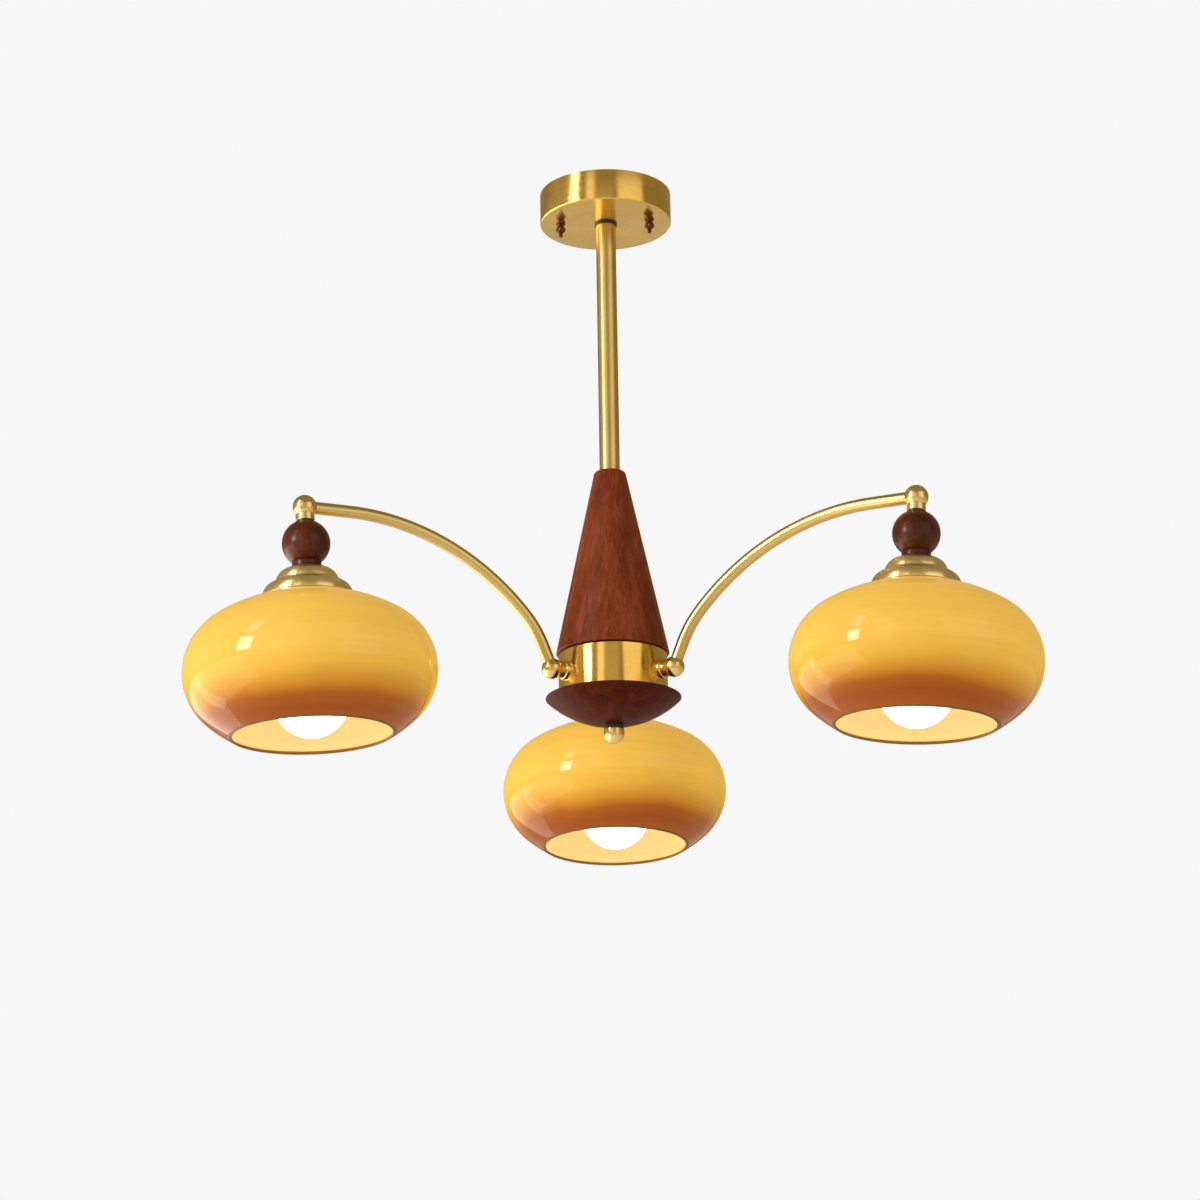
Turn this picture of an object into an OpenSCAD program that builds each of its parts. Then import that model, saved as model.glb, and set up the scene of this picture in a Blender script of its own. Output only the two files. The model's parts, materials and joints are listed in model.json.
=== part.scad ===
// Three-arm ceiling chandelier: brass stem and arms, wooden cone, beads and bowl, blown glass shades.
// Millimetres, +Z up. The origin is on the ceiling, at the centre of the canopy.

/* [Canopy] */
// Outer diameter of the canopy
canopy_d = 112; // [106:1:120]
// Height of the canopy below the ceiling
canopy_h = 27; // [26.5:0.5:34]
// Sheet thickness of the canopy
canopy_t = 1.2; // [1:0.1:1.6]
// Distance of the two cap nuts from the centre
stud_r = 39; // [38.5:0.5:41]

/* [Stem] */
// Outer diameter of the stem
stem_d = 17; // [16:0.5:18]
// Wall thickness of the stem
stem_t = 1.2; // [1:0.1:1.5]
// Height of the wooden cone's top below the ceiling
cone_top = 252; // [200:1:400]

/* [Wooden cone] */
// Height of the cone
cone_h = 159; // [150:1:180]
// Diameter of the cone at its top
cone_top_d = 26; // [25:0.5:30]
// Diameter of the cone at its base
cone_base_d = 94; // [92:0.5:98]

/* [Hub] */
// Outer diameter of the brass drum
drum_d = 90; // [88:0.5:92]
// Height of the brass drum
drum_h = 36; // [34:0.5:40]
// Diameter of the bowl's rim
bowl_d = 113.8; // [106:0.2:118]
// Depth of the bowl
bowl_h = 23; // [19:0.5:24]
// Diameter of the finial
finial_d = 17; // [16:0.5:19]

/* [Arms] */
// Number of arms
arm_n = 3; // [3:1:3]
// Distance of the shade's axis from the stem's axis
reach = 280; // [276:1:290]
// Height of the tip ball above the elbow ball
rise = 105; // [103:0.5:107]
// Outer diameter of the arm tube
arm_d = 10; // [9.5:0.5:10.5]
// Angle at which the tube leaves the elbow
start_angle = 66; // [64:0.5:68]
// Angle at which the tighter bend runs into the wider one
middle_angle = 46.5; // [44:0.5:48]
// Radius of the tighter bend
tight_r = 86; // [80:1:90]
// Radius of the wider bend
wide_r = 206; // [200:1:210]
// Slope of the tube's outer end, and so the lean of the shade
lean = 2.7; // [0:0.1:4]

/* [Shade] */
// Largest outer diameter of the glass
glass_d = 200; // [196:1:204]
// Thickness of the glass
glass_t = 2.2; // [2:0.1:2.6]
// Radius of the glass's rounded side
side_r = 50; // [48:1:52]
// Height of the glass's crown above its widest line
crown_h = 64; // [62:0.5:66]
// Depth of the full bowl shape below the widest line
belly_h = 69; // [68:0.5:71]
// Inner radius of the opening
opening_r = 61; // [59:0.5:64]
// Depth of the widest line below the tip ball's centre
widest_s = 135.2; // [135.2:0.2:137]

/* [Bulb] */
// Diameter of the bulb
bulb_d = 60; // [56:1:60]
// Depth of the bulb's centre below the tip ball's centre
bulb_s = 158; // [157:0.5:160]

/* [Hidden] */
$fn = 96;
fit = 0.05;
arms = [for (k = [1:arm_n]) str(k)];

// Colours
brass = [0.80, 0.64, 0.33];
steel = [0.72, 0.73, 0.74];
bronze = [0.30, 0.18, 0.10];
wood = [0.40, 0.17, 0.09];
dark_wood = [0.28, 0.11, 0.07];
amber = [0.95, 0.75, 0.32, 0.8];
plastic = [0.93, 0.91, 0.86];

// The first arm points away from the viewer along +Y, and the other two follow at equal angles.
first_arm = 90;
function arm_angle(k) = first_arm + 360 / arm_n * (k - 1);

// Threads are plain cylinders at their outer radius.
m10_r = 5;
m4_r = 2;

// Ceiling bracket: a hat section whose top touches the ceiling and whose wings carry the studs.
bracket_t = 1.5;
bracket_w = 34;
bracket_top_x = 33;
bracket_wing_x = 47;
bracket_drop = 14;
slot_x = 25;
slot_w = 5;
slot_l = 10;
earth_x = 41;
earth_y = 8;
stud_angles = [188, -17];
stud_drop = 33;

// Stem flange: holds the stem under the bracket's top.
flange_r = 18;
flange_t = 3;
flange_bolt_r = 14.5;
flange_socket_r = 11;
flange_socket_h = 10;
stem_r = stem_d / 2;
stem_in_r = stem_r - stem_t;
stem_top = -(bracket_t + flange_t);
stem_seat = 10;
stem_len = cone_top + stem_seat + stem_top;

// The cable leaves the stem through a side hole above the canopy's floor.
cable_r = 3;
cable_z = -19;
cable_bend_r = 6;
cable_angle = 168;
terminal_x = -46;
terminal_y = 1;
terminal_size = [12, 15, 10.5];
cable_end_gap = 0.8;
cable_run = -(terminal_x + terminal_size[0]) / cos(180 - cable_angle) - cable_bend_r - cable_end_gap;

canopy_gap = 0.75;
canopy_edge_r = 1;

cone_base = cone_top + cone_h;
cone_edge_r = 3;
cone_foot_r = 1.2;
shadow_gap = 1.2;
drum_r = drum_d / 2;
drum_t = 1.5;
drum_top = -(cone_base + shadow_gap);
drum_base = drum_top - drum_h;
drum_boss_r = 35;
axis_z = drum_top - drum_h / 2;
bowl_r = bowl_d / 2;
bowl_sphere_r = (bowl_r * bowl_r + bowl_h * bowl_h) / (2 * bowl_h);
bowl_lip = 0.6;
bowl_base = drum_base - bowl_h;
finial_r = finial_d / 2;
finial_neck = 7.2;
finial_hole = 10;
rod_bore_r = 3.5;
rod_top = -(cone_top - 2);
rod_end = bowl_base - 8;

elbow_r = 8.5;
elbow_x = drum_r + 12.5;
neck_r = 7.2;
rosette_r = 8.2;
rosette_h = 3;
rosette_edge = 1.8;
spigot_x = 33;
nut_h = 5;
nut_flats = 16;
wire_r = 1.8;
wire_knuckle_r = 2.1;
splice_r = 3.4;
splice_x = [13, 25];
tail_r = 1.2;
tail_start = 2.2;

arm_r = arm_d / 2;
arm_bore_r = arm_r - 1;
socket_depth = 4.5;

// Lengths of the tube's two straight ends, so that the two bends between them end at the tip ball:
// near * cos(start) + far * cos(lean) = across, and near * sin(start) - far * sin(lean) = up.
across = reach - elbow_x - tight_r * (sin(start_angle) - sin(middle_angle))
         - wide_r * (sin(middle_angle) + sin(lean));
up = rise - tight_r * (cos(middle_angle) - cos(start_angle)) - wide_r * (cos(lean) - cos(middle_angle));
near_len = (across * sin(lean) + up * cos(lean)) / sin(start_angle + lean);
far_len = (across * sin(start_angle) - up * cos(start_angle)) / sin(start_angle + lean);
near_end = [elbow_x + near_len * cos(start_angle), axis_z + near_len * sin(start_angle)];
bends_meet = near_end + tight_r * [sin(start_angle) - sin(middle_angle), cos(middle_angle) - cos(start_angle)];
tip = [reach, axis_z + rise];
// Straight runs are a hair thinner than the bends they meet, and run on inside them.
end_fit = 0.02;
end_overlap = 0.5;

// The shade assembly is measured downwards, as s, from the tip ball's centre.
tip_r = 9.6;
tip_foot_s = 11.5;
tip_foot_r = 7.5;
bead_r = 19.2;
bead_s = 30.4;
bead_collar_r = 7.4;
bead_collar_h = 2.4;
bead_foot_r = 11.7;
bead_foot_h = 4.4;
bead_base_s = 50;
cap_neck_r = 8.2;
cap_neck_h = 1.6;
cap_t = 1.2;
dome_s = bead_base_s + cap_neck_h;
dome_r = 25;
dome_h = 11.3;
flare_r = 36;
flare_h = 12.1;
flare_edge_r = 11.5;
holder_s = [53, 104];
holder_r = 19.5;
holder_boss_r = 10;
holder_boss_h = 4.5;
chamber_s = [62, 73];
chamber_r = 14;
socket_s = 79;
socket_r = 13.9;
nipple_s = [5.4, 60];
nipple_bore_r = 3.2;
ring_s = 76.4;
ring_r = 28;
ring_t = 2;
ring_h = 11;
ring_wall = 2.2;
glass_hole_r = 20.6;
glass_r = glass_d / 2;
crown_r = oval_r(crown_h);
belly_r = oval_r(belly_h);

bulb_r = bulb_d / 2;
bulb_wall = 1.2;
bulb_neck_r = 13.3;
bulb_neck_s = 106;
base_s = 80.5;
base_r = 13.2;
contact_r = 5;
// The bulb's cone touches its sphere where a line from the neck's edge is tangent to it.
bulb_drop = bulb_s - bulb_neck_s;
function touch_angle(r, neck_r) = atan2(neck_r, -bulb_drop) - acos(r / norm([bulb_drop, neck_r]));

// Radius of the flat arc of an oval with half-width glass_r and half-height h, whose ends are side_r arcs.
function oval_r(h) = (glass_r * glass_r + h * h - 2 * glass_r * side_r) / (2 * (h - side_r));

// Upper half of the angle between the axis and the point where an oval's two arcs meet.
function join_angle(h) = atan2(oval_r(h) - h, glass_r - side_r);

// ---------- Helpers ----------

module tube(r, bore, h) {
    difference() {
        cylinder(r = r, h = h);
        translate([0, 0, -1]) cylinder(r = bore, h = h + 2);
    }
}

// The plane wedge from angle a0 to angle a1, under 180 degrees, out to a distance d.
module wedge(a0, a1, d) {
    mid = (a0 + a1) / 2;
    polygon([[0, 0], d * [cos(a0), sin(a0)], 2 * d * [cos(mid), sin(mid)], d * [cos(a1), sin(a1)]]);
}

// A band of thickness t inside the arc of radius r, from angle a0 to angle a1.
module arc_band(r, t, a0, a1) {
    intersection() {
        difference() {
            circle(r = r);
            circle(r = r - t);
        }
        wedge(a0, a1, 2 * r);
    }
}

// Puts a part on arm k, with the arm's own X axis pointing outwards.
module on_arm(k) rotate([0, 0, arm_angle(k)]) children();

// Puts a part on the shade's axis of arm k, with its own Z axis pointing down from the tip ball.
module on_shade(k)
    on_arm(k) translate([tip[0], 0, tip[1]]) rotate([0, lean, 0]) rotate([180, 0, 0]) children();

// Turns a part's Z axis along the arm's X axis.
module outwards() rotate([0, 90, 0]) children();

// A length of the arm's centre line, as a solid of radius r: the near straight, both bends and the far one.
module arm_path(r, near_from, far_to) {
    translate([elbow_x, 0, axis_z]) rotate([0, 90 - start_angle, 0])
        translate([0, 0, near_from]) cylinder(r = r - end_fit, h = near_len - near_from + end_overlap);
    translate([bends_meet[0], 0, bends_meet[1]]) rotate([90, 0, 0]) rotate([0, 0, 90 + middle_angle]) {
        bend(tight_r, r, start_angle - middle_angle);
        mirror([0, 1, 0]) bend(wide_r, r, middle_angle + lean);
    }
    translate([tip[0], 0, tip[1]]) rotate([0, lean - 90, 0])
        translate([0, 0, far_to]) cylinder(r = r - end_fit, h = far_len - far_to + end_overlap);
}

// Part of a torus that starts at the origin.
module bend(bend_r, r, angle)
    translate([-bend_r, 0, 0]) rotate_extrude(angle = angle) translate([bend_r, 0]) circle(r = r);

// A hexagonal nut along Z.
module hex_nut(flats, bore, h) {
    difference() {
        cylinder(r = flats / sqrt(3), h = h, $fn = 6);
        translate([0, 0, -1]) cylinder(r = bore, h = h + 2);
    }
}

module at_studs()
    for (a = stud_angles)
        rotate([0, 0, a]) translate([stud_r, 0, 0]) children();

// ---------- Ceiling fixing ----------

module ceiling_bracket() {
    color(steel)
    difference() {
        union() {
            translate([-bracket_top_x, -bracket_w / 2, -bracket_t])
                cube([2 * bracket_top_x, bracket_w, bracket_t]);
            for (side = [0, 1]) mirror([side, 0, 0]) {
                translate([bracket_top_x - bracket_t, -bracket_w / 2, -bracket_drop])
                    cube([bracket_t, bracket_w, bracket_drop]);
                translate([bracket_top_x - bracket_t, -bracket_w / 2, -bracket_drop])
                    cube([bracket_wing_x - bracket_top_x + bracket_t, bracket_w, bracket_t]);
            }
        }
        for (side = [-1, 1]) translate([side * slot_x, 0, -bracket_t - 1]) slot(slot_w, slot_l, bracket_t + 2);
        at_studs() translate([0, 0, -bracket_drop - 1]) cylinder(r = m4_r, h = bracket_t + 2);
        at_flange_screws() translate([0, 0, -bracket_t - 1]) cylinder(r = m4_r, h = bracket_t + 2);
        translate([earth_x, earth_y, -bracket_drop - 1]) cylinder(r = m4_r, h = bracket_t + 2);
    }
}

module slot(w, l, h) {
    for (side = [-1, 1]) translate([side * (l - w) / 2, 0, 0]) cylinder(r = w / 2, h = h);
    translate([-(l - w) / 2, -w / 2, 0]) cube([l - w, w, h]);
}

// Studs with hexagonal heads above the wings; they reach down through the canopy into the cap nuts.
module canopy_studs() {
    color(steel)
    at_studs() {
        translate([0, 0, -stud_drop]) cylinder(r = m4_r, h = stud_drop - bracket_drop + bracket_t + 1);
        translate([0, 0, bracket_t - bracket_drop]) cylinder(r = 3.4, h = 2.8, $fn = 6);
    }
}

// Earth screw with a washer under the right wing.
module earth_screw() {
    color(brass)
    translate([earth_x, earth_y, 0]) {
        translate([0, 0, -bracket_drop - 0.8]) cylinder(r = 4.5, h = 0.8);
        translate([0, 0, -bracket_drop - 3.2]) cylinder(r = 3.5, h = 2.4);
        translate([0, 0, -bracket_drop - 1]) cylinder(r = m4_r, h = 6);
    }
}

module at_flange_screws()
    for (a = [0:120:240])
        rotate([0, 0, a]) translate([flange_bolt_r, 0, 0]) children();

module flange_screws() {
    color(steel)
    at_flange_screws() {
        translate([0, 0, stem_top]) cylinder(r = m4_r, h = -stem_top);
        translate([0, 0, stem_top - 2.4])
            difference() {
                cylinder(r = 2.8, h = 2.4);
                translate([-3, -0.4, -0.01]) cube([6, 0.8, 1]);
            }
    }
}

module stem_flange() {
    color(steel)
    difference() {
        union() {
            translate([0, 0, stem_top]) cylinder(r = flange_r, h = flange_t);
            translate([0, 0, stem_top - flange_socket_h]) cylinder(r = flange_socket_r, h = flange_socket_h);
        }
        translate([0, 0, stem_top - flange_socket_h - 1]) cylinder(r = stem_r, h = flange_socket_h + 1);
        at_flange_screws() translate([0, 0, stem_top - 1]) cylinder(r = m4_r, h = flange_t + 2);
    }
}

// Two-pole terminal block under the left wing, with a screw hole for each pole below.
module terminal_block() {
    color(plastic)
    translate([terminal_x, terminal_y, -bracket_drop - terminal_size[2]])
    difference() {
        cube(terminal_size);
        for (y = [4, 11]) translate([terminal_size[0] / 2, y, -1]) cylinder(r = 1.6, h = 6);
    }
}

// ---------- Canopy ----------

module canopy() {
    r = canopy_d / 2;
    color(brass)
    difference() {
        rotate_extrude() {
            // Floor
            translate([0, -canopy_h]) square([r - canopy_edge_r, canopy_t]);
            // Wall
            translate([r - canopy_t, canopy_edge_r - canopy_h]) square([canopy_t, canopy_h - canopy_edge_r]);
            // Rounded edge between them
            translate([r - canopy_edge_r, canopy_edge_r - canopy_h]) wedge_disc(canopy_edge_r, -90, 0);
        }
        translate([0, 0, -canopy_h - 1]) cylinder(r = stem_r + canopy_gap, h = canopy_t + 2);
        at_studs() translate([0, 0, -canopy_h - 1]) cylinder(r = m4_r + 0.3, h = canopy_t + 2);
    }
}

// The part of a disc between two angles.
module wedge_disc(r, a0, a1) {
    intersection() {
        circle(r = r);
        wedge(a0, a1, 2 * r);
    }
}

// Ornamental cap nut: flange, waist, fluted bead and a small ball at its end.
module canopy_nut(k) {
    nut_top = -canopy_h;
    color(bronze)
    rotate([0, 0, stud_angles[k - 1]]) translate([stud_r, 0, nut_top])
    difference() {
        union() {
            translate([0, 0, -1.6]) cylinder(r = 4, h = 1.6);
            translate([0, 0, -4]) cylinder(r = 3, h = 2.6);
            translate([0, 0, -8.6]) cylinder(r = 3.4, h = 4.8);
            for (a = [0:45:315])
                rotate([0, 0, a]) translate([3.4, 0, -8.6]) cylinder(r = 0.8, h = 4.6);
            translate([0, 0, -10.4]) cylinder(r1 = 1.4, r2 = 3, h = 2);
            translate([0, 0, -11.4]) sphere(r = 1.9);
        }
        translate([0, 0, -7.2]) cylinder(r = m4_r + fit, h = 8);
    }
}

// ---------- Stem and hub ----------

module stem() {
    color(brass)
    difference() {
        translate([0, 0, stem_top - stem_len]) tube(stem_r, stem_in_r, stem_len);
        translate([0, 0, cable_z]) rotate([0, 0, cable_angle]) outwards() cylinder(r = cable_r + 1, h = 2 * stem_r);
    }
}

// Threaded bush fixed in the stem's lower end; the hub's rod screws into it.
module stem_bush() {
    color(steel)
    translate([0, 0, stem_top - stem_len]) tube(stem_in_r, m10_r, stem_seat + 4);
}

// Sheathed cable from the terminal block, down the stem and the rod, with three tails to the splices.
module feed_cable() {
    color("black") {
        translate([0, 0, axis_z - cable_r])
            cylinder(r = cable_r - end_fit, h = cable_z - cable_bend_r - axis_z + cable_r + end_overlap);
        rotate([0, 0, cable_angle]) {
            translate([cable_bend_r, 0, cable_z]) rotate([90, 0, 0]) rotate([0, 0, 90])
                bend(cable_bend_r, cable_r, 90);
            translate([cable_bend_r, 0, cable_z]) outwards() cylinder(r = cable_r, h = cable_run);
        }
        for (k = [1:arm_n]) on_arm(k)
            translate([tail_start, 0, axis_z]) outwards() cylinder(r = tail_r, h = splice_x[0] + 2 - tail_start);
    }
}

module wood_cone() {
    top_r = cone_top_d / 2;
    base_r = cone_base_d / 2;
    slope = atan2(base_r - top_r, cone_h);
    // Centre of the arc that rounds the top edge, tangent to the flat top and to the side.
    edge_c = top_r - cone_edge_r * tan((90 - slope) / 2);
    color(wood)
    translate([0, 0, -cone_base])
    difference() {
        rotate_extrude() {
            polygon([[0, 0], [base_r - cone_foot_r, 0], [base_r, cone_foot_r],
                     [edge_c + cone_edge_r * cos(slope), cone_h - cone_edge_r + cone_edge_r * sin(slope)],
                     [edge_c, cone_h - cone_edge_r], [edge_c, cone_h], [0, cone_h]]);
            translate([edge_c, cone_h - cone_edge_r]) wedge_disc(cone_edge_r, slope, 90);
        }
        translate([0, 0, -1]) cylinder(r = m10_r + 0.2, h = cone_h + 2);
        translate([0, 0, cone_h - stem_seat]) cylinder(r = stem_r, h = stem_seat + 1);
    }
}

// Brass drum, open below, with a raised boss that leaves a shadow gap under the cone.
module hub_drum() {
    color(brass)
    difference() {
        union() {
            translate([0, 0, drum_base]) tube(drum_r, drum_r - drum_t, drum_h);
            translate([0, 0, drum_top - drum_t]) cylinder(r = drum_r - drum_t / 2, h = drum_t);
            translate([0, 0, drum_top - drum_t]) cylinder(r = drum_boss_r, h = drum_t + shadow_gap);
        }
        translate([0, 0, drum_top - 3]) cylinder(r = m10_r, h = 6);
        for (k = [1:arm_n]) on_arm(k)
            translate([drum_r - 5, 0, axis_z]) outwards() cylinder(r = m10_r + fit, h = 10);
    }
}

// Hollow threaded rod through the cone, the drum and the bowl, with side holes for the wires.
module hub_rod() {
    color(steel)
    difference() {
        translate([0, 0, rod_end]) tube(m10_r, rod_bore_r, rod_top - rod_end);
        for (k = [1:arm_n]) on_arm(k)
            translate([0, 0, axis_z]) outwards() cylinder(r = tail_r + 0.4, h = 2 * m10_r);
    }
}

// Nut that clamps the drum and the cone to the stem.
module rod_nut() {
    color(steel)
    translate([0, 0, drum_top - drum_t - nut_h]) hex_nut(nut_flats, m10_r, nut_h);
}

// Nuts inside the drum that hold the three elbows.
module arm_nuts() {
    color(steel)
    for (k = [1:arm_n]) on_arm(k)
        translate([drum_r - drum_t - 1.2 - nut_h, 0, axis_z]) outwards() hex_nut(nut_flats, m10_r + fit, nut_h);
}

// Domed washers between the drum and the elbows' necks.
module rosettes() {
    color(brass)
    for (k = [1:arm_n]) on_arm(k)
        difference() {
            translate([drum_r + rosette_h, 0, axis_z]) rotate([0, -90, 0])
                rotate_extrude() {
                    translate([0, rosette_edge]) square([rosette_r, rosette_h - rosette_edge + 1]);
                    square([rosette_r - rosette_edge, rosette_edge + 1]);
                    translate([rosette_r - rosette_edge, rosette_edge]) wedge_disc(rosette_edge, -90, 0);
                }
            translate([0, 0, drum_base]) cylinder(r = drum_r, h = drum_h);
            translate([0, 0, axis_z]) outwards() cylinder(r = m10_r + fit, h = 2 * drum_r);
        }
}

// Closed-end connectors on the arms' own axes, where the leads meet the cable's tails.
module wire_splices() {
    color(plastic)
    for (k = [1:arm_n]) on_arm(k)
        translate([splice_x[0], 0, axis_z]) outwards()
            difference() {
                cylinder(r = splice_r, h = splice_x[1] - splice_x[0]);
                translate([0, 0, -1]) cylinder(r = tail_r, h = 3.1);
                translate([0, 0, 6]) cylinder(r = wire_r + fit, h = 20);
            }
}

// Solid wooden dish: a slice of a sphere with a thin lip.
module bottom_bowl() {
    color(dark_wood)
    difference() {
        intersection() {
            translate([0, 0, drum_base - bowl_h + bowl_sphere_r]) sphere(r = bowl_sphere_r);
            translate([0, 0, bowl_base - 1]) cylinder(r = bowl_r - bowl_lip, h = bowl_h + 1);
        }
        translate([0, 0, bowl_base - 2]) cylinder(r = m10_r + fit, h = bowl_h + 4);
    }
}

// Round-ended cap that screws on the rod's end.
module finial() {
    color(brass)
    difference() {
        union() {
            translate([0, 0, bowl_base - finial_neck]) cylinder(r = finial_r, h = finial_neck);
            intersection() {
                translate([0, 0, bowl_base - finial_neck]) sphere(r = finial_r);
                translate([0, 0, bowl_base - finial_neck - 2 * finial_r]) cylinder(r = 2 * finial_r, h = 2 * finial_r);
            }
        }
        translate([0, 0, bowl_base - finial_hole]) cylinder(r = m10_r + fit, h = finial_hole + 1);
    }
}

// ---------- Arms ----------

// Ball with a neck and a threaded spigot towards the hub, and a socket for the tube.
module hub_elbow(k) {
    color(brass) on_arm(k)
    difference() {
        union() {
            translate([elbow_x, 0, axis_z]) sphere(r = elbow_r);
            translate([drum_r + rosette_h, 0, axis_z]) outwards()
                cylinder(r = neck_r, h = elbow_x - drum_r - rosette_h);
            translate([spigot_x, 0, axis_z]) outwards() cylinder(r = m10_r, h = elbow_x - spigot_x);
        }
        translate([spigot_x - 1, 0, axis_z]) outwards()
            cylinder(r = rod_bore_r, h = elbow_x - spigot_x + 1 + rod_bore_r);
        translate([elbow_x, 0, axis_z]) rotate([0, 90 - start_angle, 0]) {
            translate([0, 0, -rod_bore_r / 2]) cylinder(r = rod_bore_r, h = 2 * elbow_r);
            translate([0, 0, socket_depth]) cylinder(r = arm_r, h = 2 * elbow_r);
        }
    }
}

module arm_tube(k) {
    color(brass) on_arm(k)
    difference() {
        arm_path(arm_r, socket_depth, socket_depth);
        arm_path(arm_bore_r, socket_depth - 1, socket_depth - 1);
    }
}

// Ball with a flat foot; the tube enters its side, and the nipple its foot.
module tip_ball(k) {
    color(brass) on_shade(k)
    difference() {
        union() {
            sphere(r = tip_r);
            cylinder(r = tip_foot_r, h = tip_foot_s);
        }
        translate([0, 0, tip_foot_s]) cylinder(r = tip_r, h = tip_r);
        translate([0, 0, -nipple_bore_r]) cylinder(r = nipple_bore_r, h = nipple_bore_r + nipple_s[0] + 1);
        translate([0, 0, nipple_s[0]]) cylinder(r = m10_r, h = tip_r);
        rotate([0, -90, 0]) {
            cylinder(r = nipple_bore_r, h = 2 * tip_r);
            translate([0, 0, socket_depth]) cylinder(r = arm_r, h = 2 * tip_r);
        }
    }
}

module wood_bead(k) {
    color(dark_wood) on_shade(k)
    difference() {
        union() {
            intersection() {
                translate([0, 0, bead_s]) sphere(r = bead_r);
                translate([0, 0, tip_foot_s + bead_collar_h / 2])
                    cylinder(r = bead_r + 1, h = bead_base_s - tip_foot_s - bead_collar_h / 2 - bead_foot_h / 2);
            }
            translate([0, 0, tip_foot_s]) cylinder(r = bead_collar_r, h = bead_collar_h);
            translate([0, 0, bead_base_s - bead_foot_h]) cylinder(r = bead_foot_r, h = bead_foot_h);
        }
        translate([0, 0, tip_foot_s - 1]) cylinder(r = m10_r, h = bead_base_s);
    }
}

// Spun cap: a short neck, a small dome over the lampholder and a wider flare down to the glass.
module shade_cap(k) {
    color(brass) on_shade(k)
    difference() {
        union() {
            translate([0, 0, bead_base_s]) cylinder(r = cap_neck_r, h = cap_neck_h + cap_t / 2);
            rotate_extrude() cap_outline(0);
        }
        rotate_extrude() cap_outline(cap_t);
        translate([0, 0, bead_base_s - 1]) cylinder(r = m10_r, h = cap_neck_h + 5);
    }
}

// Half section of the cap's outside, or of its inside when inset by the wall. Y runs down the axis.
module cap_outline(inset) {
    translate([0, dome_s + inset]) round_block(dome_r - inset, dome_h, dome_h - inset);
    translate([0, dome_s + dome_h + inset]) round_block(flare_r - inset, flare_h, flare_edge_r - inset);
}

// A block from the axis out to r and over height h, with its upper outer corner rounded to edge_r.
module round_block(r, h, edge_r) {
    square([r - edge_r, h]);
    if (h > edge_r)
        translate([0, edge_r]) square([r, h - edge_r]);
    translate([r - edge_r, edge_r]) wedge_disc(edge_r, -90, 0);
}

module nipple(k) {
    color(steel) on_shade(k)
    translate([0, 0, nipple_s[0]]) tube(m10_r, nipple_bore_r, nipple_s[1] - nipple_s[0]);
}

// Lampholder: boss for the nipple, wiring chamber, and the socket that takes the bulb's base.
module lampholder(k) {
    color(plastic) on_shade(k)
    difference() {
        union() {
            translate([0, 0, holder_s[0]]) cylinder(r = holder_boss_r, h = holder_boss_h);
            translate([0, 0, holder_s[0] + holder_boss_h])
                cylinder(r = holder_r, h = holder_s[1] - holder_s[0] - holder_boss_h);
        }
        translate([0, 0, holder_s[0] - 1]) cylinder(r = m10_r, h = chamber_s[0] - holder_s[0] + 1);
        translate([0, 0, chamber_s[0]]) cylinder(r = chamber_r, h = chamber_s[1] - chamber_s[0]);
        translate([0, 0, socket_s]) cylinder(r = socket_r, h = holder_s[1] - socket_s + 1);
    }
}

// Twin lead from the splice, through the elbow and the arm, down to the lampholder's chamber.
module arm_lead(k) {
    color("black") {
        on_arm(k) {
            translate([splice_x[1] - 4, 0, axis_z]) outwards()
                cylinder(r = wire_r, h = elbow_x - splice_x[1] + 4);
            translate([elbow_x, 0, axis_z]) sphere(r = wire_knuckle_r);
            arm_path(wire_r, 0, 0);
        }
        on_shade(k) {
            sphere(r = wire_knuckle_r);
            cylinder(r = wire_r, h = chamber_s[1] - 3);
        }
    }
}

// ---------- Shade ----------

// Half section of the glass: crown arc, rounded side, belly arc down to the opening. Y runs down the axis.
// The crown and the belly run on into the side by a small angle, so that the three are one piece.
module glass_outline() {
    upper = join_angle(crown_h);
    lower = join_angle(belly_h);
    hole = acos(glass_hole_r / crown_r);
    mouth = acos((opening_r + glass_t) / belly_r);
    seam = 0.02;
    translate([0, crown_r - crown_h]) arc_band(crown_r, glass_t, -hole, seam - upper);
    translate([glass_r - side_r, 0]) arc_band(side_r, glass_t, -upper, lower);
    translate([0, belly_h - belly_r]) arc_band(belly_r, glass_t, lower - seam, mouth);
}

module glass_shade(k) {
    color(amber) on_shade(k)
    translate([0, 0, widest_s]) rotate_extrude() glass_outline();
}

// Ring that screws on the lampholder from below and carries the glass on its flange.
module shade_ring(k) {
    color(plastic) on_shade(k)
    difference() {
        translate([0, 0, ring_s]) {
            cylinder(r = ring_r, h = ring_t);
            cylinder(r = holder_r + ring_wall, h = ring_h);
        }
        translate([0, 0, ring_s - 1]) cylinder(r = holder_r + fit, h = ring_h + 2);
    }
}

// ---------- Bulb ----------

// Hollow opal globe, open at the neck, where the base closes it.
module bulb_globe(k) {
    color("white") on_shade(k) translate([0, 0, bulb_s])
    difference() {
        bulb_form(bulb_r, bulb_neck_r);
        bulb_form(bulb_r - bulb_wall, bulb_neck_r - bulb_wall);
        translate([0, 0, -bulb_drop - 1]) cylinder(r = bulb_neck_r - bulb_wall, h = 1);
    }
}

// A sphere, with its centre at z = 0, that runs into a cone up to a neck.
module bulb_form(r, neck_r) {
    angle = touch_angle(r, neck_r);
    touch_z = r * cos(angle);
    intersection() {
        sphere(r = r);
        translate([0, 0, touch_z]) cylinder(r = 2 * r, h = 2 * r);
    }
    translate([0, 0, -bulb_drop]) cylinder(r1 = neck_r, r2 = r * sin(angle), h = bulb_drop + touch_z);
}

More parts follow.
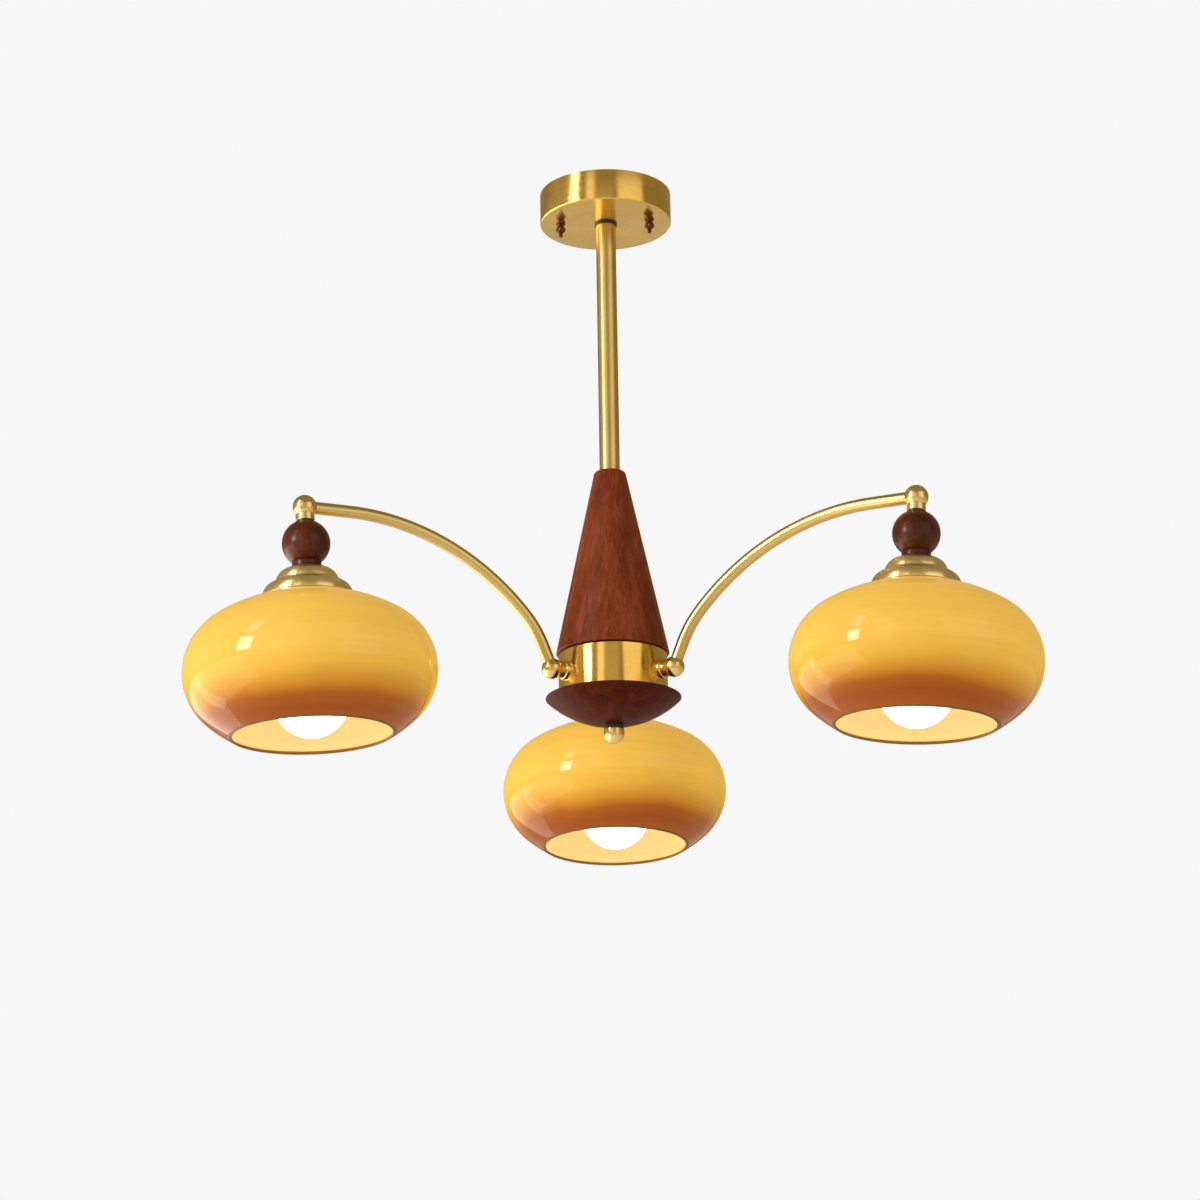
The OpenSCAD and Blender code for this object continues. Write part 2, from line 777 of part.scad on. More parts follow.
// Screw base with an insulating ring and a centre contact.
module bulb_base(k) {
    color(steel) on_shade(k)
    union() {
        translate([0, 0, base_s + 5]) cylinder(r = base_r, h = bulb_neck_s - base_s - 5);
        translate([0, 0, base_s + 1]) cylinder(r1 = contact_r, r2 = base_r - 2, h = 4);
        translate([0, 0, base_s]) cylinder(r = contact_r, h = 1);
    }
}

// ---------- Assembly ----------

ceiling_bracket();
canopy_studs();
flange_screws();
stem_flange();
earth_screw();
terminal_block();
canopy();
canopy_nut(1);  // canopy_nut_1
canopy_nut(2);  // canopy_nut_2
stem();
stem_bush();
feed_cable();
wood_cone();
hub_drum();
hub_rod();
rod_nut();
arm_nuts();
rosettes();
wire_splices();
bottom_bowl();
finial();
for (k = [1:arm_n]) {
    hub_elbow(k);
    arm_tube(k);
    tip_ball(k);
    wood_bead(k);
    shade_cap(k);
    nipple(k);
    lampholder(k);
    arm_lead(k);
    glass_shade(k);
    shade_ring(k);
    bulb_globe(k);
    bulb_base(k);
}
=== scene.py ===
import json
import math

import bmesh
import bpy
from mathutils import Matrix, Vector


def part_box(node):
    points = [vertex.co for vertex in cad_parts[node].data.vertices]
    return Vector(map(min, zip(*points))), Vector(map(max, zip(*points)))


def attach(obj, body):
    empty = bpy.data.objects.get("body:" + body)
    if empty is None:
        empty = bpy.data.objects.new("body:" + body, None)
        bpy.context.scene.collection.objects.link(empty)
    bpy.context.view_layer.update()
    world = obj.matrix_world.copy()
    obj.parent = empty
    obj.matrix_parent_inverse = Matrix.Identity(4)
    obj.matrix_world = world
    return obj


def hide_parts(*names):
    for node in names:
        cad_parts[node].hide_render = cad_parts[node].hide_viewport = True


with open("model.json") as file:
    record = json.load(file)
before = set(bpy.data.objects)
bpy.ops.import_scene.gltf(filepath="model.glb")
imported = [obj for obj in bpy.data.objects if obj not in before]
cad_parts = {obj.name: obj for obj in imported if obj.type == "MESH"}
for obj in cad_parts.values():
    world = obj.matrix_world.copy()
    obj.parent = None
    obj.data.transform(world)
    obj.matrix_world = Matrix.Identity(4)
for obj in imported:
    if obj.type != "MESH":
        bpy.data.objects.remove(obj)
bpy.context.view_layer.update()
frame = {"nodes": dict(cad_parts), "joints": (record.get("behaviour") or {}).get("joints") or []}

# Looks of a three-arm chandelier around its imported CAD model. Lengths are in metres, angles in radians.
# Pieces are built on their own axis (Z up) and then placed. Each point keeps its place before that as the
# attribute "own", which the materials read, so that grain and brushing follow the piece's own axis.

MM = 0.001
ARMS = ("1", "2", "3")
SHARP_ANGLE = math.radians(35)
OUTWARDS = Matrix.Rotation(math.pi / 2, 4, "Y")


# ---------- Sizes, from the frame where it states them ----------

def joint(name):
    return next(j for j in frame["joints"] if j["name"] == name)


def half_width(node):
    low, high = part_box(node)
    return (high.x - low.x) / 2


def top(node):
    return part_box(node)[1].z


def bottom(node):
    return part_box(node)[0].z


ELBOW_REACH = Vector(joint("arm_1_swivel")["pos_m"]).to_2d().length
AXIS_Z = joint("arm_1_swivel")["pos_m"][2]
LEAN = math.asin(Vector(joint("shade_1_drop")["axis"]).to_2d().length)
TIP_R = half_width("tip_ball_1")
TIP_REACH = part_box("tip_ball_1")[1].y - TIP_R
TIP_Z = top("tip_ball_1") - TIP_R
CANOPY_R = half_width("canopy")
CANOPY_H = -bottom("canopy")
STEM_R = half_width("stem")
CONE_R = half_width("wood_cone")
CONE_TOP = top("wood_cone")
CONE_BASE = bottom("wood_cone")
DRUM_R = half_width("hub_drum")
DRUM_BASE = bottom("hub_drum")
BOWL_R = half_width("bottom_bowl")
BOWL_BASE = bottom("bottom_bowl")
FINIAL_R = half_width("finial")
FINIAL_BASE = bottom("finial")
ELBOW_R = half_width("hub_elbow_1")
BEAD_R = half_width("wood_bead_1")
GLASS_R = half_width("glass_shade_1")
BULB_R = half_width("bulb_globe_1")

# Sizes that no box states, as in the CAD model.
SHEET = 1.2 * MM
TIP_FOOT = -11.5 * MM
BEAD_FOOT = -50 * MM
ROSETTE_H = 3 * MM
CONE_TOP_R = 13 * MM
SHADOW_GAP = 1.2 * MM
DRUM_TOP = CONE_BASE - SHADOW_GAP
ROD_R = 5 * MM
ARM_R = 5 * MM
ARM_BORE_R = 4 * MM
TUBE_FIT = 0.02 * MM
SOCKET_DEPTH = 4.5 * MM
START_ANGLE = math.radians(66)
MIDDLE_ANGLE = math.radians(46.5)
TIGHT_R = 86 * MM
WIDE_R = 206 * MM


# ---------- Outlines: lists of (radius, height) points ----------

def arc(centre, radius, start, end, count):
    """Points on an arc, with its angles in degrees from the outward direction."""
    angles = [math.radians(start + (end - start) * i / count) for i in range(count + 1)]
    return [(centre[0] + radius * math.cos(a), centre[1] + radius * math.sin(a)) for a in angles]


def rounded(corners, closed=True, steps=5):
    """An outline through (radius, height, rounding) corners, each rounded by an arc of that radius."""
    points = []
    count = len(corners)
    for i, (x, z, rounding) in enumerate(corners):
        if rounding <= 0 or (not closed and i in (0, count - 1)):
            points.append((x, z))
            continue
        here = Vector((x, z))
        to_before = (Vector(corners[i - 1][:2]) - here).normalized()
        to_after = (Vector(corners[(i + 1) % count][:2]) - here).normalized()
        half = to_before.angle(to_after) / 2
        centre = here + (to_before + to_after).normalized() * rounding / math.sin(half)
        first = here + to_before * rounding / math.tan(half) - centre
        last = here + to_after * rounding / math.tan(half) - centre
        start = math.degrees(math.atan2(first.y, first.x))
        sweep = math.degrees(math.atan2(last.y, last.x)) - start
        sweep = (sweep + 180) % 360 - 180
        points += arc(centre, rounding, start, start + sweep, steps)
    return points


# ---------- Mesh builders ----------

def keep_own_place(mesh):
    """Stores each point's place on the piece's own axis, for the materials."""
    own = mesh.attributes.new("own", "FLOAT_VECTOR", "POINT")
    own.data.foreach_set("vector", [value for vertex in mesh.vertices for value in vertex.co])


def add_piece(name, mesh, body, node=None, place=None):
    """Puts a finished mesh in the scene at its place, riding on its body and standing for its CAD nodes."""
    mesh.polygons.foreach_set("use_smooth", [True] * len(mesh.polygons))
    mesh.set_sharp_from_angle(angle=SHARP_ANGLE)
    if "own" not in mesh.attributes:
        keep_own_place(mesh)
    if place:
        mesh.transform(place)
    piece = bpy.data.objects.new(name, mesh)
    bpy.context.scene.collection.objects.link(piece)
    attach(piece, body)
    if node:
        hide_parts(node)
    return piece


def lathe_mesh(name, outline, segments=160, closed=True, shift=None):
    """Turns an outline about Z. shift(angle, radius, height) may change a radius, for flutes and threads."""
    mesh = bpy.data.meshes.new(name)
    build = bmesh.new()
    rings = []
    for radius, height in outline:
        if radius < 1e-7:
            rings.append([build.verts.new((0, 0, height))])
            continue
        ring = []
        for i in range(segments):
            angle = 2 * math.pi * i / segments
            r = shift(angle, radius, height) if shift else radius
            ring.append(build.verts.new((r * math.cos(angle), r * math.sin(angle), height)))
        rings.append(ring)
    pairs = list(zip(rings, rings[1:]))
    if closed:
        pairs.append((rings[-1], rings[0]))
    for lower, upper in pairs:
        if len(lower) == 1 and len(upper) == 1:
            continue
        for i in range(segments):
            j = (i + 1) % segments
            corners = [lower[i % len(lower)], lower[j % len(lower)],
                       upper[j % len(upper)], upper[i % len(upper)]]
            corners = [v for n, v in enumerate(corners) if v not in corners[:n]]
            build.faces.new(corners)
    bmesh.ops.recalc_face_normals(build, faces=build.faces)
    build.to_mesh(mesh)
    build.free()
    return mesh


def cut(mesh, cutters):
    """Takes other closed meshes out of a mesh."""
    target = bpy.data.objects.new("cut_target", mesh)
    bpy.context.scene.collection.objects.link(target)
    helpers = [target]
    for cutter_mesh in cutters:
        cutter = bpy.data.objects.new("cutter", cutter_mesh)
        bpy.context.scene.collection.objects.link(cutter)
        helpers.append(cutter)
        modifier = target.modifiers.new("cut", "BOOLEAN")
        modifier.operation = "DIFFERENCE"
        modifier.solver = "EXACT"
        modifier.object = cutter
    bpy.context.view_layer.update()
    evaluated = target.evaluated_get(bpy.context.evaluated_depsgraph_get())
    result = bpy.data.meshes.new_from_object(evaluated)
    result.name = mesh.name + "_cut"
    for helper in helpers:
        bpy.data.objects.remove(helper)
    return result


def rod_mesh(radius, start, end, segments=48):
    """A plain closed cylinder between two points, for cutting and joining."""
    start = Vector(start)
    along = Vector(end) - start
    mesh = lathe_mesh("rod", [(0, 0), (radius, 0), (radius, along.length), (0, along.length)], segments)
    mesh.transform(Matrix.Translation(start) @ along.to_track_quat("Z", "Y").to_matrix().to_4x4())
    return mesh


def sweep_mesh(name, path, radius, bore, segments=56):
    """A tube along a path of (outwards, up, slope) points in the arm's plane, closed at both ends."""
    mesh = bpy.data.meshes.new(name)
    build = bmesh.new()
    own = build.verts.layers.float_vector.new("own")
    shells = []
    for r in (radius, bore):
        rings = []
        travelled = 0
        before = None
        for out, up, slope in path:
            across = Vector((-math.sin(slope), 0, math.cos(slope)))
            centre = Vector((out, 0, up))
            travelled += (centre - before).length if before else 0
            before = centre
            ring = []
            for i in range(segments):
                angle = 2 * math.pi * i / segments
                side = Vector((0, math.sin(angle), 0))
                vertex = build.verts.new(centre + r * (math.cos(angle) * across + side))
                vertex[own] = (r * math.cos(angle), r * math.sin(angle), travelled)
                ring.append(vertex)
            rings.append(ring)
        shells.append(rings)
    for rings in shells:
        for lower, upper in zip(rings, rings[1:]):
            for i in range(segments):
                j = (i + 1) % segments
                build.faces.new((lower[i], lower[j], upper[j], upper[i]))
    for end in (0, -1):
        outer, inner = shells[0][end], shells[1][end]
        for i in range(segments):
            j = (i + 1) % segments
            build.faces.new((outer[i], outer[j], inner[j], inner[i]))
    bmesh.ops.recalc_face_normals(build, faces=build.faces)
    build.to_mesh(mesh)
    build.free()
    return mesh


# ---------- Materials ----------

class Shader:
    """A material's node tree, with short calls for the nodes that it uses."""

    def __init__(self, name, own=True):
        """Reads the pieces' own coordinates, or the object's where a CAD node carries the material."""
        self.material = bpy.data.materials.new(name)
        self.material.use_nodes = True
        self.tree = self.material.node_tree
        self.surface = self.tree.nodes["Principled BSDF"]
        if own:
            self.place = self.add("ShaderNodeAttribute", attribute_name="own").outputs["Vector"]
        else:
            self.place = self.add("ShaderNodeTexCoord").outputs["Object"]

    def add(self, kind, inputs=None, **settings):
        node = self.tree.nodes.new(kind)
        for key, value in settings.items():
            setattr(node, key, value)
        for key, value in (inputs or {}).items():
            self.put(node.inputs[key], value)
        return node

    def put(self, socket, value):
        if isinstance(value, bpy.types.NodeSocket):
            self.tree.links.new(value, socket)
        else:
            socket.default_value = value

    def set(self, **values):
        """Sets sockets of the surface, named with underscores for spaces."""
        for key, value in values.items():
            self.put(self.surface.inputs[key.replace("_", " ")], value)

    def math(self, operation, a, b):
        return self.add("ShaderNodeMath", {0: a, 1: b}, operation=operation).outputs[0]

    def vector_math(self, operation, a, b):
        return self.add("ShaderNodeVectorMath", {0: a, 1: b}, operation=operation).outputs[0]

    def stretched(self, x, y, z):
        return self.vector_math("MULTIPLY", self.place, (x, y, z))

    def turned(self, fineness, along):
        """Coordinates that run round the axis: fine across the radius and the height, slow along the turn."""
        flat = self.stretched(1, 1, 0)
        radius = self.add("ShaderNodeVectorMath", {0: flat}, operation="LENGTH").outputs["Value"]
        spoke = self.add("ShaderNodeVectorMath", {0: flat}, operation="NORMALIZE").outputs[0]
        slow = self.vector_math("MULTIPLY", spoke, (along, along, 0))
        height = self.add("ShaderNodeSeparateXYZ", {0: self.place}).outputs["Z"]
        fine = self.add("ShaderNodeCombineXYZ", {
            0: self.math("MULTIPLY", radius, fineness),
            2: self.math("MULTIPLY", height, fineness)}).outputs[0]
        return self.vector_math("ADD", fine, slow)

    def noise(self, vector, scale, detail=3.0, roughness=0.5, distortion=0.0):
        inputs = {"Vector": vector, "Scale": scale, "Detail": detail, "Roughness": roughness,
                  "Distortion": distortion}
        return self.add("ShaderNodeTexNoise", inputs).outputs["Fac"]

    def span(self, value, low, high, to_low=0.0, to_high=1.0):
        """Maps a value's range low..high onto another range, held at its ends."""
        return self.add("ShaderNodeMapRange", {"Value": value, "From Min": low, "From Max": high,
                                               "To Min": to_low, "To Max": to_high}).outputs["Result"]

    def ramp(self, value, stops):
        node = self.add("ShaderNodeValToRGB", {"Fac": value})
        elements = node.color_ramp.elements
        while len(elements) < len(stops):
            elements.new(0.5)
        for element, (position, colour) in zip(elements, stops):
            element.position = position
            element.color = (*colour, 1)
        return node.outputs["Color"]

    def mix(self, amount, a, b, blend="MIX"):
        node = self.add("ShaderNodeMix", data_type="RGBA", blend_type=blend)
        for key, value in ((0, amount), (6, a), (7, b)):
            self.put(node.inputs[key], (*value, 1) if isinstance(value, tuple) else value)
        return node.outputs[2]

    def bump(self, height, distance, under=None):
        inputs = {"Height": height, "Distance": distance, "Strength": 1.0}
        if under:
            inputs["Normal"] = under
        return self.add("ShaderNodeBump", inputs).outputs["Normal"]


def brass(name, light, dark, rough, brushed, smudge=0.05, drawn=False, own=True):
    """Lacquered brass: fine lines round the axis, or along it on drawn tube, and faint handling marks."""
    s = Shader(name, own)
    lines = s.noise(s.stretched(1, 1, 0.01) if drawn else s.turned(2.4, 0.0012), 2200, detail=2)
    bands = s.noise(s.stretched(1, 1, 0.02) if drawn else s.turned(1, 0.0012), 700, detail=3)
    cloud = s.noise(s.place, 30, detail=5, roughness=0.6)
    tone = s.math("ADD", s.math("MULTIPLY", cloud, 0.6), s.math("MULTIPLY", bands, 0.4))
    colour = s.mix(s.span(tone, 0.36, 0.64), dark, light)
    lines_rough = s.span(lines, 0.3, 0.7, rough - 0.35 * brushed * rough, rough + 0.35 * brushed * rough)
    roughness = s.math("ADD", lines_rough, s.span(cloud, 0.45, 0.75, 0, smudge))
    s.set(Base_Color=colour, Metallic=1.0, Roughness=roughness,
          Normal=s.bump(lines, 0.00002 * brushed, under=s.bump(bands, 0.00001 * brushed)))
    if brushed > 0.5:
        s.set(Anisotropic=0.65, Anisotropic_Rotation=0.25,
              Tangent=s.add("ShaderNodeTangent", direction_type="RADIAL", axis="Z").outputs[0])
    return s.material


def walnut(name, light, mid, dark, gloss, specular, coat):
    """Lacquered walnut with its grain along the axis: broad figure, fine streaks and open pores."""
    s = Shader(name)
    drift = s.noise(s.stretched(1, 1, 0.25), 14, detail=2)
    sideways = s.add("ShaderNodeCombineXYZ", {0: s.math("MULTIPLY", drift, 0.035)}).outputs[0]
    warped = s.vector_math("ADD", s.stretched(1, 1, 0.07), sideways)
    figure = s.noise(warped, 95, detail=4, roughness=0.55, distortion=0.6)
    streaks = s.noise(s.stretched(1, 1, 0.035), 620, detail=3, roughness=0.6)
    pores = s.noise(s.stretched(1, 1, 0.05), 1500, detail=1)
    open_pores = s.span(pores, 0.62, 0.72)
    grain = s.math("ADD", s.math("MULTIPLY", figure, 0.62), s.math("MULTIPLY", streaks, 0.38))
    colour = s.ramp(s.span(grain, 0.34, 0.66), [(0.0, dark), (0.5, mid), (1.0, light)])
    shaded = s.mix(s.math("MULTIPLY", open_pores, 0.55), colour, dark)
    s.set(Base_Color=shaded, Roughness=s.span(streaks, 0.3, 0.7, gloss, gloss + 0.12),
          Specular_IOR_Level=specular, Coat_Weight=coat, Coat_Roughness=0.2,
          Normal=s.bump(s.math("SUBTRACT", streaks, open_pores), 0.00006))
    return s.material


def amber_glass():
    """Cased glass outside: honey amber that runs into brown near the mouth, with a painted glow: emission in
    the glass's own colour stands in for the bulb's light shining through it.
    """
    s = Shader("amber_glass")
    height = s.add("ShaderNodeSeparateXYZ", {0: s.place}).outputs["Z"]
    wander = s.noise(s.stretched(1, 1, 0.6), 9, detail=3)
    level = s.math("ADD", height, s.span(wander, 0.3, 0.7, -0.003, 0.003))
    depth = s.span(level, GLASS_MOUTH_Z, GLASS_CROWN_Z)
    colour = s.ramp(depth, [
        (0.00, (0.33, 0.075, 0.003)), (0.08, (0.29, 0.060, 0.001)), (0.14, (0.35, 0.090, 0.002)),
        (0.20, (0.55, 0.220, 0.012)), (0.31, (0.76, 0.410, 0.048)), (0.44, (0.85, 0.50, 0.080))])
    streak = s.noise(s.turned(1, 0.005), 260, detail=3)
    cloud = s.noise(s.place, 16, detail=3)
    tone = s.span(s.math("ADD", streak, cloud), 0.75, 1.25, 0.96, 1.03)
    grey = s.add("ShaderNodeCombineColor", {0: tone, 1: tone, 2: tone}).outputs[0]
    toned = s.mix(1.0, colour, grey, "MULTIPLY")
    # Painted glow: the base colour is halved and the emission adds the glass's colour back as light from
    # within.
    body = s.mix(1.0, toned, (0.5, 0.5, 0.5), "MULTIPLY")
    s.set(Base_Color=body, Roughness=0.09, IOR=1.5, Specular_IOR_Level=0.05, Coat_Weight=0.27,
          Coat_Roughness=0.04, Emission_Color=toned, Emission_Strength=GLASS_PAINTED_GLOW,
          Normal=s.bump(s.noise(s.stretched(1, 1, 0.7), 11, detail=1), 0.0005))
    return s.material


def glass_lining():
    """Pale cased glass inside the shade."""
    s = Shader("glass_lining")
    cloud = s.noise(s.place, 20, detail=4)
    s.set(Base_Color=s.mix(cloud, (0.90, 0.66, 0.36), (0.94, 0.71, 0.42)), Roughness=0.22, Coat_Weight=0.3,
          Coat_Roughness=0.06, Normal=s.bump(cloud, 0.0003))
    return s.material


def glass_rim():
    """The ground edge of the mouth, where the amber layer shows dark through its thickness."""
    s = Shader("glass_rim")
    cloud = s.noise(s.turned(1, 0.01), 900, detail=3)
    s.set(Base_Color=s.mix(cloud, (0.13, 0.065, 0.012), (0.20, 0.100, 0.022)), Roughness=0.35,
          Specular_IOR_Level=0.1, Normal=s.bump(cloud, 0.00005))
    return s.material


def opal_bulb():
    """The lit opal globe."""
    s = Shader("opal_bulb")
    cloud = s.noise(s.place, 40, detail=2)
    s.set(Base_Color=s.mix(cloud, (0.95, 0.92, 0.84), (0.98, 0.96, 0.90)), Roughness=0.25,
          Emission_Color=(1.0, 0.93, 0.80, 1), Emission_Strength=BULB_GLOW)
    return s.material


def moulded(name, light, dark, rough, grain=900, own=True):
    """Moulded plastic with a fine spark-eroded grain."""
    s = Shader(name, own)
    fine = s.noise(s.place, grain, detail=3)
    cloud = s.noise(s.place, 30, detail=3)
    s.set(Base_Color=s.mix(cloud, dark, light), Roughness=s.span(fine, 0.3, 0.7, rough - 0.06, rough + 0.06),
          Normal=s.bump(fine, 0.00003))
    return s.material


def plated_steel(name, light, dark, rough, own=True):
    """Zinc plating: fine drawn lines and a cloudy, slightly spangled tone."""
    s = Shader(name, own)
    drawn = s.noise(s.stretched(1, 0.06, 1), 2600, detail=2)
    spangle = s.noise(s.place, 120, detail=4, roughness=0.7)
    s.set(Base_Color=s.mix(s.span(spangle, 0.35, 0.65), dark, light), Metallic=1.0,
          Roughness=s.math("ADD", s.span(drawn, 0.3, 0.7, rough - 0.05, rough + 0.05),
                           s.span(spangle, 0.4, 0.7, 0, 0.08)),
          Normal=s.bump(drawn, 0.00002))
    return s.material


def lacquered_bronze(name):
    """Dark bronze lacquer, worn to brass on its high ridges."""
    s = Shader(name)
    cloud = s.noise(s.place, 260, detail=5, roughness=0.65)
    ridge = s.add("ShaderNodeNewGeometry").outputs["Pointiness"]
    wear = s.math("MULTIPLY", s.span(ridge, 0.52, 0.60), s.span(cloud, 0.42, 0.60))
    lacquer = s.mix(cloud, (0.060, 0.022, 0.010), (0.11, 0.042, 0.018))
    s.set(Base_Color=s.mix(wear, lacquer, (0.42, 0.22, 0.08)), Metallic=0.85,
          Roughness=s.span(cloud, 0.3, 0.7, 0.26, 0.42), Normal=s.bump(cloud, 0.00005))
    return s.material


BULB_GLOW = 3.2
# Strength of the painted glow that stands in for the bulb's light shining through the amber glass.
GLASS_PAINTED_GLOW = 0.60
GLASS_MOUTH_Z = -0.188
GLASS_CROWN_Z = -0.072

BRUSHED = brass("brushed_brass", (0.84, 0.54, 0.145), (0.73, 0.445, 0.110), 0.20, 1.0)
SPUN = brass("spun_brass", (0.90, 0.69, 0.34), (0.81, 0.59, 0.26), 0.28, 0.8)
POLISHED = brass("polished_brass", (0.80, 0.57, 0.220), (0.72, 0.49, 0.170), 0.23, 0.2)
DRUM_BRASS = brass("drum_brass", (0.86, 0.54, 0.130), (0.78, 0.465, 0.100), 0.17, 0.6)
TUBE_BRASS = brass("tube_brass", (0.67, 0.480, 0.180), (0.61, 0.420, 0.145), 0.30, 0.03,
                   smudge=0.02, drawn=True)
EARTH_BRASS = brass("earth_brass", (0.82, 0.58, 0.220), (0.74, 0.50, 0.170), 0.20, 0.2, own=False)
CONE_WOOD = walnut("cone_walnut", (0.29, 0.060, 0.018), (0.185, 0.035, 0.010), (0.095, 0.017, 0.005),
                   gloss=0.36, specular=0.10, coat=0.02)
BOWL_WOOD = walnut("bowl_walnut", (0.095, 0.015, 0.001), (0.062, 0.008, 0.001), (0.030, 0.004, 0.001),
                   gloss=0.34, specular=0.05, coat=0.0)
BEAD_WOOD = walnut("bead_walnut", (0.110, 0.020, 0.005), (0.070, 0.012, 0.003), (0.035, 0.006, 0.002),
                   gloss=0.26, specular=0.15, coat=0.15)
# Black moulded rubber for the bead collars, and also the colour of the painted shadow rings at the canopy's
# hole and the finial.
BLACK_AND_SHADOW = moulded("black_and_painted_shadow", (0.022, 0.016, 0.013), (0.012, 0.009, 0.008), 0.34)
AMBER = amber_glass()
LINING = glass_lining()
RIM = glass_rim()
OPAL = opal_bulb()
HOLDER = moulded("lampholder_plastic", (0.80, 0.76, 0.66), (0.72, 0.68, 0.58), 0.42)
TERMINAL = moulded("terminal_plastic", (0.80, 0.76, 0.66), (0.72, 0.68, 0.58), 0.42, own=False)
SHEATH = moulded("cable_sheath", (0.030, 0.030, 0.032), (0.018, 0.018, 0.020), 0.40, grain=1500, own=False)
STEEL = plated_steel("zinc_steel", (0.66, 0.67, 0.69), (0.52, 0.53, 0.56), 0.30, own=False)
BASE_METAL = plated_steel("base_metal", (0.74, 0.74, 0.75), (0.62, 0.62, 0.64), 0.24)
BRONZE = lacquered_bronze("dark_bronze")


def paint(piece, *materials):
    for material in materials:
        piece.data.materials.append(material)


def paint_nodes(material, *nodes):
    """Gives CAD nodes that stay as they are a finished material."""
    for node in nodes:
        for slot in frame["nodes"][node].material_slots:
            slot.material = material


# ---------- Places ----------

def arm_place(k):
    """The frame of arm k: X outwards, Z up, at the stem's axis on the ceiling."""
    outward = joint(f"arm_{k}_swivel")["axis"]
    return Matrix.Rotation(math.atan2(outward[1], outward[0]), 4, "Z")


def shade_place(k):
    """The frame of the shade of arm k: at the tip ball's centre, Z up along the shade's axis."""
    return arm_place(k) @ Matrix.Translation((TIP_REACH, 0, TIP_Z)) @ Matrix.Rotation(LEAN, 4, "Y")


# ---------- Ceiling pieces ----------

def make_canopy():
    """Spun cup with a rounded lower edge, and a black ring in its hole round the stem that is painted shadow:
    it darkens the gap where shade falls.
    """
    hole = STEM_R + 0.75 * MM
    edge = 1.4 * MM
    outline = rounded([
        (hole, -CANOPY_H, 0.35 * MM), (CANOPY_R, -CANOPY_H, edge), (CANOPY_R, 0, 0.4 * MM),
        (CANOPY_R - SHEET, 0, 0.4 * MM), (CANOPY_R - SHEET, SHEET - CANOPY_H, edge - 0.4 * MM),
        (hole, SHEET - CANOPY_H, 0.35 * MM)])
    mesh = lathe_mesh("canopy", outline, 256)
    paint(add_piece("canopy_shell", mesh, "canopy", "canopy"), BRUSHED)
    # Painted shadow: a black ring fills the gap between the stem and the canopy's hole and stands proud below
    # it.
    inner = STEM_R + 0.1 * MM
    lip = hole + 0.4 * MM
    low = -CANOPY_H - 1.6 * MM
    shadow_ring = rounded([(inner, low, 0.3 * MM), (lip, low, 0.5 * MM), (lip, -CANOPY_H, 0.2 * MM),
                       (hole, -CANOPY_H, 0), (hole, SHEET - CANOPY_H, 0), (inner, SHEET - CANOPY_H, 0)])
    paint(add_piece("canopy_shadow_ring", lathe_mesh("shadow_ring", shadow_ring, 96), "canopy"), BLACK_AND_SHADOW)


def make_canopy_nut(k):
    """Ornamental cap nut: flange, waist, eight-fluted bulb, neck and ball."""
    place = Matrix.Translation(Vector(joint(f"canopy_nut_{k}_turn")["pos_m"]).xy.to_3d())
    place = place @ Matrix.Translation((0, 0, -CANOPY_H))
    bulb_z = -6.2 * MM
    bulb_h = 5.2 * MM
    outline = [(0, 0)] + rounded([
        (4.0 * MM, 0, 0), (4.0 * MM, -1.6 * MM, 0.5 * MM), (3.0 * MM, -1.9 * MM, 0.2 * MM),
        (2.8 * MM, -3.5 * MM, 0.3 * MM)], closed=False)
    steps = 22
    for i in range(steps + 1):
        turn = math.pi * (0.10 + 0.80 * i / steps)
        outline.append((2.4 * MM + 1.6 * MM * math.sin(turn), bulb_z + bulb_h / 2 * math.cos(turn)))
    outline += arc((0, -11.4 * MM), 1.9 * MM, 52, -90, 14)

    def flutes(angle, radius, height):
        depth = max(0.0, 1 - ((height - bulb_z) / (bulb_h / 2)) ** 2)
        return radius + 0.2 * MM * depth * math.cos(8 * angle)

    mesh = lathe_mesh("canopy_nut", outline, 96, closed=False, shift=flutes)
    paint(add_piece(f"cap_nut_{k}", mesh, f"canopy_nut_{k}", f"canopy_nut_{k}", place), BRONZE)


def make_stem():
    high = top("stem")
    low = bottom("stem")
    outline = rounded([(STEM_R - SHEET, low, 0.2 * MM), (STEM_R, low, 0.3 * MM), (STEM_R, high, 0.3 * MM),
                       (STEM_R - SHEET, high, 0.2 * MM)], steps=3)
    heights = 24
    straight = [(STEM_R, low + (high - low) * i / heights) for i in range(1, heights)]
    outline = outline[:8] + straight + outline[8:]
    mesh = lathe_mesh("stem", outline, 96)
    paint(add_piece("stem_tube", mesh, "hub", "stem"), TUBE_BRASS)


# ---------- Hub pieces ----------

def make_cone():
    bore = ROD_R + 0.2 * MM
    seat = CONE_TOP - 10 * MM
    outline = rounded([(bore, CONE_BASE, 0), (CONE_R, CONE_BASE, 1.2 * MM), (CONE_TOP_R, CONE_TOP, 3.0 * MM),
                       (STEM_R, CONE_TOP, 0.3 * MM), (STEM_R, seat, 0), (bore, seat, 0)], steps=8)
    mesh = lathe_mesh("cone", outline, 224)
    paint(add_piece("turned_cone", mesh, "hub", "wood_cone"), CONE_WOOD)


def make_drum():
    wall = DRUM_R - 1.5 * MM
    plate = DRUM_TOP - 1.5 * MM
    boss = 35 * MM
    outline = rounded([
        (ROD_R, CONE_BASE, 0), (boss, CONE_BASE, 0.3 * MM), (boss, DRUM_TOP, 0),
        (DRUM_R, DRUM_TOP, 0.5 * MM), (DRUM_R, DRUM_BASE, 0.5 * MM), (wall, DRUM_BASE, 0.3 * MM),
        (wall, plate, 0.5 * MM), (ROD_R, plate, 0)])
    mesh = lathe_mesh("drum", outline, 256)
    paint(add_piece("hub_shell", mesh, "hub", "hub_drum"), DRUM_BRASS)


